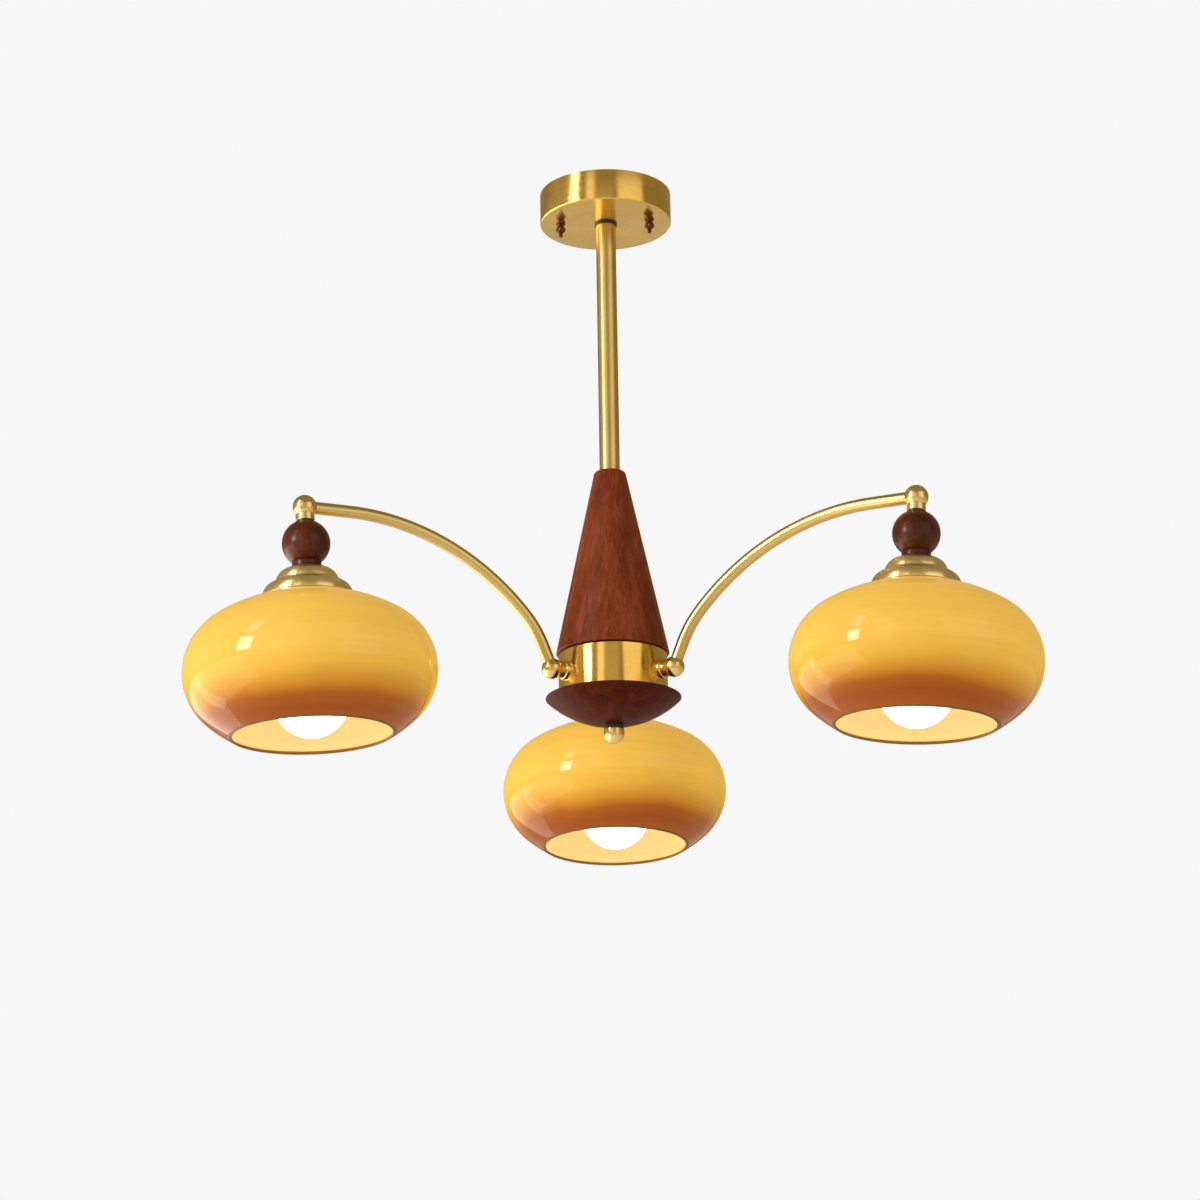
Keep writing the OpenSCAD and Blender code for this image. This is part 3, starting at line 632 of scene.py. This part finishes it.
def make_rosettes():
    """Washers with a domed edge between the drum and the elbows' necks, hollowed to sit on the drum."""
    radius = 8.2 * MM
    edge = 1.8 * MM
    running_gap = 0.15 * MM
    hole = ROD_R + running_gap
    back = DRUM_R - 1 * MM
    face = DRUM_R + ROSETTE_H - TUBE_FIT
    outline = rounded([(hole, back, 0), (radius, back, 0), (radius, face, edge), (hole, face, 0)], steps=10)
    rosettes = bmesh.new()
    drum = rod_mesh(DRUM_R, (0, 0, DRUM_BASE), (0, 0, DRUM_TOP), 256)
    for k in ARMS:
        washer = lathe_mesh("rosette", outline, 96)
        keep_own_place(washer)
        washer.transform(arm_place(k) @ Matrix.Translation((0, 0, AXIS_Z)) @ OUTWARDS)
        rosettes.from_mesh(cut(washer, [drum.copy()]))
    mesh = bpy.data.meshes.new("rosettes")
    rosettes.to_mesh(mesh)
    rosettes.free()
    paint(add_piece("rosette_washers", mesh, "hub", "rosettes"), POLISHED)


def make_bowl():
    depth = DRUM_BASE - BOWL_BASE
    sphere_r = (BOWL_R ** 2 + depth ** 2) / (2 * depth)
    rim = math.degrees(math.asin(BOWL_R / sphere_r))
    centre = (0, BOWL_BASE + sphere_r)
    hole = ROD_R + 0.05 * MM
    start = math.degrees(math.acos(hole / sphere_r))
    outline = [(hole, DRUM_BASE)] + arc(centre, sphere_r, -start, rim - 90 - 0.6, 40)
    lip = outline[-1]
    outline += rounded([(lip[0], lip[1], 0), (BOWL_R, DRUM_BASE - 0.5 * MM, 0.3 * MM),
                        (BOWL_R - 0.6 * MM, DRUM_BASE, 0.3 * MM), (BOWL_R - 3 * MM, DRUM_BASE, 0)],
                       closed=False)[1:]
    mesh = lathe_mesh("bowl", outline, 224)
    paint(add_piece("turned_bowl", mesh, "bowl", "bottom_bowl"), BOWL_WOOD)


def make_finial():
    """Ball end under the bowl, below a black collar that is painted shadow: a dark ring where shade falls
    between the bowl and the ball.
    """
    collar_r = 8.0 * MM
    collar_low = BOWL_BASE - 3.6 * MM
    bore = 5 * MM
    # Painted shadow: the black collar stands for the shade at the finial's top under the bowl.
    collar = rounded([(bore, collar_low, 0), (collar_r, collar_low, 0.3 * MM),
                      (collar_r, BOWL_BASE, 0.4 * MM), (bore, BOWL_BASE, 0)])
    paint(add_piece("finial_shadow_ring", lathe_mesh("collar", collar, 96), "finial"), BLACK_AND_SHADOW)
    centre = (0, FINIAL_BASE + FINIAL_R)
    outline = [(0, collar_low)] + rounded([
        (FINIAL_R - 1.2 * MM, collar_low, 0), (FINIAL_R, collar_low, 0.6 * MM),
        (FINIAL_R, centre[1], 0)], closed=False)[:-1]
    outline += arc(centre, FINIAL_R, 0, -90, 30)
    mesh = lathe_mesh("finial", outline, 128, closed=False)
    paint(add_piece("ball_finial", mesh, "finial", "finial"), POLISHED)


# ---------- Arm pieces ----------

def make_elbow(k):
    """Ball, neck and spigot turned in one, bored for the lead, with a socket for the tube."""
    place = arm_place(k) @ Matrix.Translation((ELBOW_REACH, 0, AXIS_Z)) @ OUTWARDS
    neck = 7.2 * MM
    bore = 3.5 * MM
    face = DRUM_R + ROSETTE_H - ELBOW_REACH
    tip = 33 * MM - ELBOW_REACH
    join = -math.degrees(math.acos(neck / ELBOW_R))
    neck_end = ELBOW_R * math.sin(math.radians(join))
    outline = rounded([(bore, 0, 0), (bore, tip, 0.3 * MM), (ROD_R, tip, 0.5 * MM), (ROD_R, face, 0),
                       (neck, face, 0.3 * MM), (neck, neck_end, 0)], closed=False)
    outline += arc((0, 0), ELBOW_R, join, 90, 30)[1:] + [(0, 0)]
    mesh = lathe_mesh("elbow", outline, 96)
    direction = Vector((-math.sin(START_ANGLE), 0, math.cos(START_ANGLE)))
    mesh = cut(mesh, [rod_mesh(ARM_R + TUBE_FIT, direction * SOCKET_DEPTH, direction * 2 * ELBOW_R)])
    paint(add_piece(f"elbow_{k}", mesh, f"arm_{k}", f"hub_elbow_{k}", place), POLISHED)


def arm_route():
    """Points (outwards, up, slope) of the arm's centre line: straight, tight bend, wide bend, straight."""
    across = (TIP_REACH - ELBOW_REACH - TIGHT_R * (math.sin(START_ANGLE) - math.sin(MIDDLE_ANGLE))
              - WIDE_R * (math.sin(MIDDLE_ANGLE) + math.sin(LEAN)))
    up = (TIP_Z - AXIS_Z - TIGHT_R * (math.cos(MIDDLE_ANGLE) - math.cos(START_ANGLE))
          - WIDE_R * (math.cos(LEAN) - math.cos(MIDDLE_ANGLE)))
    near = (across * math.sin(LEAN) + up * math.cos(LEAN)) / math.sin(START_ANGLE + LEAN)
    far = (across * math.sin(START_ANGLE) - up * math.cos(START_ANGLE)) / math.sin(START_ANGLE + LEAN)
    position = Vector((ELBOW_REACH, AXIS_Z))
    slope = START_ANGLE
    heading = Vector((math.cos(slope), math.sin(slope)))
    route = [(*(position + heading * (SOCKET_DEPTH + TUBE_FIT)), slope)]
    position = position + heading * near
    for radius, last_slope, steps in ((TIGHT_R, MIDDLE_ANGLE, 40), (WIDE_R, -LEAN, 160)):
        centre = position + radius * Vector((math.sin(slope), -math.cos(slope)))
        first_slope = slope
        for i in range(steps + 1):
            slope = first_slope + (last_slope - first_slope) * i / steps
            position = centre + radius * Vector((-math.sin(slope), math.cos(slope)))
            route.append((*position, slope))
    heading = Vector((math.cos(slope), math.sin(slope)))
    route.append((*(position + heading * (far - SOCKET_DEPTH - TUBE_FIT)), slope))
    return route


def make_arm_tube(k):
    mesh = sweep_mesh("arm", arm_route(), ARM_R, ARM_BORE_R)
    paint(add_piece(f"arm_{k}_tube", mesh, f"arm_{k}", f"arm_tube_{k}", arm_place(k)), TUBE_BRASS)


def make_tip_ball(k):
    """Ball with a turned foot; the tube enters its inner side."""
    foot_r = 7.5 * MM
    join = -math.degrees(math.acos(foot_r / TIP_R))
    neck_z = TIP_R * math.sin(math.radians(join))
    outline = [(0, TIP_FOOT)] + rounded([(foot_r - 0.7 * MM, TIP_FOOT, 0), (foot_r, TIP_FOOT, 0.3 * MM),
                                         (foot_r, neck_z - 0.3 * MM, 0)], closed=False, steps=3)
    outline += arc((0, 0), TIP_R, join, 90, 34)
    mesh = lathe_mesh("tip_ball", outline, 112, closed=False)
    mesh = cut(mesh, [rod_mesh(ARM_R + TUBE_FIT, (-SOCKET_DEPTH, 0, 0), (-2 * TIP_R, 0, 0)),
                      rod_mesh(ROD_R, (0, 0, -5.4 * MM), (0, 0, 1.2 * TIP_FOOT))])
    paint(add_piece(f"end_ball_{k}", mesh, f"arm_{k}", f"tip_ball_{k}", shade_place(k)), POLISHED)


def make_bead(k):
    """Turned wooden bead between a black collar and a dark turned foot."""
    centre = -30.4 * MM
    collar_r = 7.4 * MM
    collar_low = TIP_FOOT - 2.4 * MM
    foot_r = 11.7 * MM
    foot_top = BEAD_FOOT + 4.4 * MM
    upper = math.degrees(math.asin((collar_low - centre) / BEAD_R))
    lower = math.degrees(math.asin((foot_top - centre) / BEAD_R))
    outline = [(ROD_R, foot_top)] + arc((0, centre), BEAD_R, lower, upper, 48) + [(ROD_R, collar_low)]
    collar = rounded([(ROD_R, collar_low, 0), (collar_r, collar_low, 0.5 * MM),
                      (collar_r, TIP_FOOT, 0.4 * MM), (ROD_R, TIP_FOOT, 0)])
    foot = rounded([(ROD_R, BEAD_FOOT, 0), (foot_r, BEAD_FOOT, 0.5 * MM), (foot_r, foot_top, 0.8 * MM),
                    (ROD_R, foot_top, 0)])
    bead = lathe_mesh("bead", outline, 144)
    paint(add_piece(f"bead_{k}", bead, f"arm_{k}", f"wood_bead_{k}", shade_place(k)), BEAD_WOOD)
    for name, shape, material in (("collar", collar, BLACK_AND_SHADOW), ("foot", foot, BEAD_WOOD)):
        mesh = lathe_mesh(name, shape, 96)
        paint(add_piece(f"bead_{name}_{k}", mesh, f"arm_{k}", None, shade_place(k)), material)


def make_cap(k):
    """Spun cap in two steps, with a short neck on top and a rolled lower edge."""
    neck_r = 8.2 * MM
    top_z = BEAD_FOOT - 1.6 * MM
    dome_r = 25 * MM
    step_z = top_z - 11.3 * MM
    flare_r = 36 * MM
    dome_curve = 11.3 * MM
    flare_curve = 11.5 * MM
    edge = -75.0 * MM
    roll = 0.6 * MM
    outer = [(ROD_R, BEAD_FOOT)] + rounded([(neck_r - 0.5 * MM, BEAD_FOOT, 0), (neck_r, BEAD_FOOT, 0.4 * MM),
                                            (neck_r, top_z, 0.3 * MM), (dome_r - dome_curve, top_z, 0)],
                                           closed=False)
    outer += arc((dome_r - dome_curve, top_z - dome_curve), dome_curve, 90, 4, 16)[1:]
    outer += arc((flare_r - flare_curve, step_z - flare_curve), flare_curve, 84, 0, 18)
    outer += arc((flare_r - roll, edge + roll), roll, 0, -180, 8)
    inner = arc((flare_r - flare_curve, step_z - flare_curve), flare_curve - SHEET, 0, 86, 18)
    inner += arc((dome_r - dome_curve, top_z - dome_curve), dome_curve - SHEET, 4, 90, 16)
    inner += [(ROD_R, top_z - SHEET)]
    mesh = lathe_mesh("cap", outer + inner, 192)
    paint(add_piece(f"spun_cap_{k}", mesh, f"arm_{k}", f"shade_cap_{k}", shade_place(k)), SPUN)


def make_lampholder(k):
    """Moulded lampholder with a coarse outer thread for the ring and a rolled mouth."""
    body_r = 19.5 * MM
    socket_r = 13.9 * MM
    chamber_r = 14 * MM
    boss_r = 10 * MM
    low = -104 * MM
    thread_low = low + 4 * MM
    thread_top = -74 * MM
    thread_depth = 0.45 * MM
    pitch = 3 * MM
    socket_top = -79 * MM
    chamber = (-73 * MM, -62 * MM)
    shoulder = -57.5 * MM
    boss_top = -53 * MM
    outline = [(ROD_R, boss_top), (ROD_R, chamber[1]), (chamber_r, chamber[1]), (chamber_r, chamber[0]),
               (socket_r, socket_top)]
    outline += rounded([(socket_r, socket_top, 0), (socket_r, low, 0.8 * MM), (body_r, low, 0.8 * MM),
                        (body_r, thread_low, 0)], closed=False)[1:]
    steps = 60
    outline += [(body_r, thread_low + (thread_top - thread_low) * i / steps) for i in range(1, steps + 1)]
    outline += rounded([(body_r, thread_top, 0), (body_r, shoulder, 1.0 * MM), (boss_r, shoulder, 0),
                        (boss_r, boss_top, 0.6 * MM), (ROD_R, boss_top, 0)], closed=False)[1:-1]

    def thread(angle, radius, height):
        if radius < 19 * MM or not thread_low + 1 * MM < height < thread_top - 1 * MM:
            return radius
        return radius - thread_depth * (0.5 + 0.5 * math.sin(angle + 2 * math.pi * height / pitch))

    mesh = lathe_mesh("holder", outline, 96, shift=thread)
    paint(add_piece(f"holder_{k}", mesh, f"arm_{k}", f"lampholder_{k}", shade_place(k)), HOLDER)


# ---------- Shade and bulb ----------

def make_glass(k):
    """Blown shade: crown arc, rounded side, belly arc to a rounded matt mouth, with a pale lining inside."""
    wide_z = -135.2 * MM
    thick = 2.2 * MM
    side_r = 50 * MM
    hole = 20.7 * MM
    mouth = 63.2 * MM
    crown_h = 64 * MM
    belly_h = 69 * MM

    def oval_r(height):
        return (GLASS_R ** 2 + height ** 2 - 2 * GLASS_R * side_r) / (2 * (height - side_r))

    def join_angle(height):
        return math.degrees(math.atan2(oval_r(height) - height, GLASS_R - side_r))

    crown_r, belly_r = oval_r(crown_h), oval_r(belly_h)
    crown = (0, wide_z + crown_h - crown_r)
    side = (GLASS_R - side_r, wide_z)
    belly = (0, wide_z + belly_r - belly_h)
    crown_end = math.degrees(math.acos(hole / crown_r)) - 0.5
    mouth_end = math.degrees(math.acos(mouth / belly_r)) - math.degrees(thick / 2 / belly_r)
    outer = arc(crown, crown_r, crown_end, join_angle(crown_h), 24)
    outer += arc(side, side_r, join_angle(crown_h), -join_angle(belly_h), 56)[1:]
    outer += arc(belly, belly_r, -join_angle(belly_h), -mouth_end, 14)[1:]
    rim_centre = (belly[0] + (belly_r - thick / 2) * math.cos(math.radians(mouth_end)),
                  belly[1] - (belly_r - thick / 2) * math.sin(math.radians(mouth_end)))
    rim = arc(rim_centre, thick / 2, -mouth_end, -mouth_end - 180, 12)[1:-1]
    inner = arc(belly, belly_r - thick, -mouth_end, -join_angle(belly_h), 14)
    inner += arc(side, side_r - thick, -join_angle(belly_h), join_angle(crown_h), 56)[1:]
    inner += arc(crown, crown_r - thick, join_angle(crown_h), crown_end, 24)[1:]
    mesh = lathe_mesh("glass", outer + rim + inner, 256)
    for face in mesh.polygons:
        spoke = face.center - Vector((0, 0, wide_z))
        from_rim = Vector((face.center.xy.length - rim_centre[0], face.center.z - rim_centre[1])).length
        face.material_index = 2 if from_rim < 1.1 * thick else int(face.normal.dot(spoke) < 0)
    glass = add_piece(f"shade_glass_{k}", mesh, f"shade_{k}", f"glass_shade_{k}", shade_place(k))
    paint(glass, AMBER, LINING, RIM)


def make_ring(k):
    """Screw ring with a flange under the glass and grip ribs round its collar."""
    flange = -76.4 * MM
    inner = 19.55 * MM
    collar = 21.7 * MM
    flange_r = 28 * MM
    flange_low = flange - 2 * MM
    low = -87.4 * MM
    outline = [(inner, flange), (inner, low)]
    outline += rounded([(inner, low, 0), (collar, low, 0.5 * MM), (collar, -86 * MM, 0)], closed=False)[1:]
    outline += [(collar, -78.9 * MM)]
    outline += rounded([(collar, flange_low, 0), (flange_r, flange_low, 0.5 * MM),
                        (flange_r, flange, 0.5 * MM), (inner + 1 * MM, flange, 0)], closed=False)

    def ribs(angle, radius, height):
        grip = abs(radius - collar) < 0.2 * MM and -86.5 * MM < height < -78.5 * MM
        return radius - 0.5 * MM * (0.5 + 0.5 * math.cos(36 * angle)) if grip else radius

    mesh = lathe_mesh("ring", outline, 288, shift=ribs)
    paint(add_piece(f"screw_ring_{k}", mesh, f"shade_{k}", f"shade_ring_{k}", shade_place(k)), HOLDER)


def make_bulb(k):
    """Opal globe on a threaded screw base, whose shoulder steps in to a centre contact."""
    centre = -158 * MM
    neck_r = 13.3 * MM
    neck_z = -106 * MM
    drop = neck_z - centre
    touch = math.degrees(math.atan2(neck_r, drop) + math.acos(BULB_R / math.hypot(drop, neck_r)))
    outline = arc((0, centre), BULB_R, -90, 90 - touch, 44)
    outline += [(neck_r, neck_z), (neck_r - 1.0 * MM, neck_z)]
    outline += arc((0, centre), BULB_R - 1.2 * MM, 90 - touch, -90, 20)
    globe = add_piece(f"globe_{k}", lathe_mesh("globe", outline, 96, closed=False), f"bulb_{k}",
                      f"bulb_globe_{k}", shade_place(k))
    paint(globe, OPAL)
    thread_r = 13.2 * MM
    low, high = neck_z, -86 * MM
    pitch = 3.6 * MM
    thread_depth = 0.5 * MM
    contact_r = 5 * MM
    contact_top = -80.5 * MM
    base = [(0, low), (thread_r - 0.3 * MM, low)]
    steps = 56
    base += [(thread_r, low + (high - low) * i / steps) for i in range(steps + 1)]
    shoulder = rounded([(thread_r - 1 * MM, high + 0.2 * MM, 0), (11 * MM, high + 1 * MM, 0.5 * MM),
                        (contact_r, contact_top - 1 * MM, 0.6 * MM),
                        (contact_r, contact_top - 0.2 * MM, 0.3 * MM), (3 * MM, contact_top, 0)],
                       closed=False)
    base += shoulder + [(0, contact_top)]

    def thread(angle, radius, height):
        if radius < 12 * MM or not low + 1.5 * MM < height < high - 0.5 * MM:
            return radius
        return radius - thread_depth + thread_depth * math.sin(angle + 2 * math.pi * height / pitch)

    mesh = lathe_mesh("base", base, 96, closed=False, shift=thread)
    paint(add_piece(f"screw_base_{k}", mesh, f"bulb_{k}", f"bulb_base_{k}", shade_place(k)), BASE_METAL)


# ---------- Stage, light and camera ----------

def make_floor():
    size = 45.0
    depth = -1.75
    mesh = bpy.data.meshes.new("floor")
    build = bmesh.new()
    bmesh.ops.create_grid(build, x_segments=8, y_segments=8, size=size)
    build.to_mesh(mesh)
    build.free()
    floor = bpy.data.objects.new("studio_floor", mesh)
    floor.location.z = depth
    bpy.context.scene.collection.objects.link(floor)
    s = Shader("floor_paint")
    cloud = s.noise(s.place, 3, detail=3)
    s.set(Base_Color=s.mix(cloud, (0.78, 0.78, 0.78), (0.82, 0.82, 0.82)), Roughness=0.8)
    floor.data.materials.append(s.material)


def make_world():
    """A dim warm room for the reflections, brighter on the left, and a pale backdrop for the camera."""
    world = bpy.data.worlds.new("studio")
    world.use_nodes = True
    tree = world.node_tree
    background = tree.nodes["Background"]
    seen = tree.nodes.new("ShaderNodeLightPath").outputs["Is Camera Ray"]
    direction = tree.nodes.new("ShaderNodeTexCoord").outputs["Generated"]
    split = tree.nodes.new("ShaderNodeSeparateXYZ")
    tree.links.new(direction, split.inputs[0])
    side = tree.nodes.new("ShaderNodeMapRange")
    tree.links.new(split.outputs["X"], side.inputs["Value"])
    for key, value in (("From Min", -0.95), ("From Max", -0.75), ("To Min", 0.0), ("To Max", 1.0)):
        side.inputs[key].default_value = value
    room = tree.nodes.new("ShaderNodeMix")
    room.data_type = "RGBA"
    tree.links.new(side.outputs["Result"], room.inputs[0])
    room.inputs[6].default_value = (0.50, 0.46, 0.36, 1)
    room.inputs[7].default_value = (0.31, 0.265, 0.165, 1)
    backdrop = tree.nodes.new("ShaderNodeMix")
    backdrop.data_type = "RGBA"
    tree.links.new(seen, backdrop.inputs[0])
    tree.links.new(room.outputs[2], backdrop.inputs[6])
    backdrop.inputs[7].default_value = (0.93, 0.93, 0.93, 1)
    tree.links.new(backdrop.outputs[2], background.inputs["Color"])
    bpy.context.scene.world = world


def panel(name, azimuth, elevation, distance, width, height, radiance, aim=-0.32, colour=(1, 1, 1)):
    """A soft box that faces the stem's axis. Azimuth 0 is on the camera's side and grows to its right."""
    turn, lift = math.radians(azimuth), math.radians(elevation)
    outward = Vector((math.sin(turn) * math.cos(lift), -math.cos(turn) * math.cos(lift), math.sin(lift)))
    light = bpy.data.lights.new(name, "AREA")
    light.shape = "RECTANGLE"
    light.size = width
    light.size_y = height
    light.energy = radiance * math.pi * width * height
    light.color = colour
    lamp = bpy.data.objects.new(name, light)
    lamp.location = Vector((0, 0, aim)) + outward * distance
    lamp.rotation_euler = (-outward).to_track_quat("-Z", "Y").to_euler()
    bpy.context.scene.collection.objects.link(lamp)


def make_lights():
    panel("key_window", -55, 10, 2.3, 0.50, 0.70, 22)
    panel("high_window", -55, 34, 2.5, 0.45, 0.80, 5)
    panel("left_strip", -26, 14, 3.0, 0.70, 2.4, 1.0)
    panel("front_card", -3, 10, 3.0, 1.7, 2.0, 0.25)
    panel("right_panel", 44, 12, 3.0, 2.4, 2.4, 0.85)
    panel("low_left_table", -86, -25, 2.0, 2.3, 1.5, 2.8, colour=(1.0, 0.93, 0.80))
    panel("low_left_back", -128, -22, 2.0, 1.5, 1.4, 2.4, colour=(1.0, 0.93, 0.80))
    panel("floor_wash", 0, 90, 0.01, 90, 90, 0.46, aim=-0.9, colour=(0.92, 0.97, 1.0))


def make_camera():
    """The photograph's viewpoint: below the fitting, looking up at it through a long lens."""
    distance = 2.6624
    height = -1.1758
    pitch, yaw, roll = (math.radians(a) for a in (16.964, 0.213, 0.90))
    orbit = math.radians(-0.076)
    focal_share = 3355.8 / 1200
    data = bpy.data.cameras.new("camera")
    data.sensor_width = 36
    data.lens = data.sensor_width * focal_share
    data.clip_end = 50
    camera = bpy.data.objects.new("camera", data)
    aim = Matrix.Rotation(yaw, 4, "Z") @ Matrix.Rotation(pitch, 4, "X") @ Matrix.Rotation(roll, 4, "Y")
    place = Matrix.Translation((0, -distance, height)) @ aim @ Matrix.Rotation(math.pi / 2, 4, "X")
    camera.matrix_world = Matrix.Rotation(orbit, 4, "Z") @ place
    bpy.context.scene.collection.objects.link(camera)
    bpy.context.scene.camera = camera
    bpy.context.scene.view_settings.view_transform = "Standard"


# ---------- Build ----------

make_camera()
make_canopy()
for nut in ("1", "2"):
    make_canopy_nut(nut)
make_stem()
make_cone()
make_drum()
make_rosettes()
make_bowl()
make_finial()
for arm in ARMS:
    make_elbow(arm)
    make_arm_tube(arm)
    make_tip_ball(arm)
    make_bead(arm)
    make_cap(arm)
    make_lampholder(arm)
    make_glass(arm)
    make_ring(arm)
    make_bulb(arm)

paint_nodes(STEEL, "ceiling_bracket", "canopy_studs", "flange_screws", "stem_flange", "stem_bush", "hub_rod",
            "rod_nut", "arm_nuts", *(f"nipple_{k}" for k in ARMS))
paint_nodes(EARTH_BRASS, "earth_screw")
paint_nodes(TERMINAL, "terminal_block", "wire_splices")
paint_nodes(SHEATH, "feed_cable", *(f"arm_lead_{k}" for k in ARMS))

make_floor()
make_world()
make_lights()
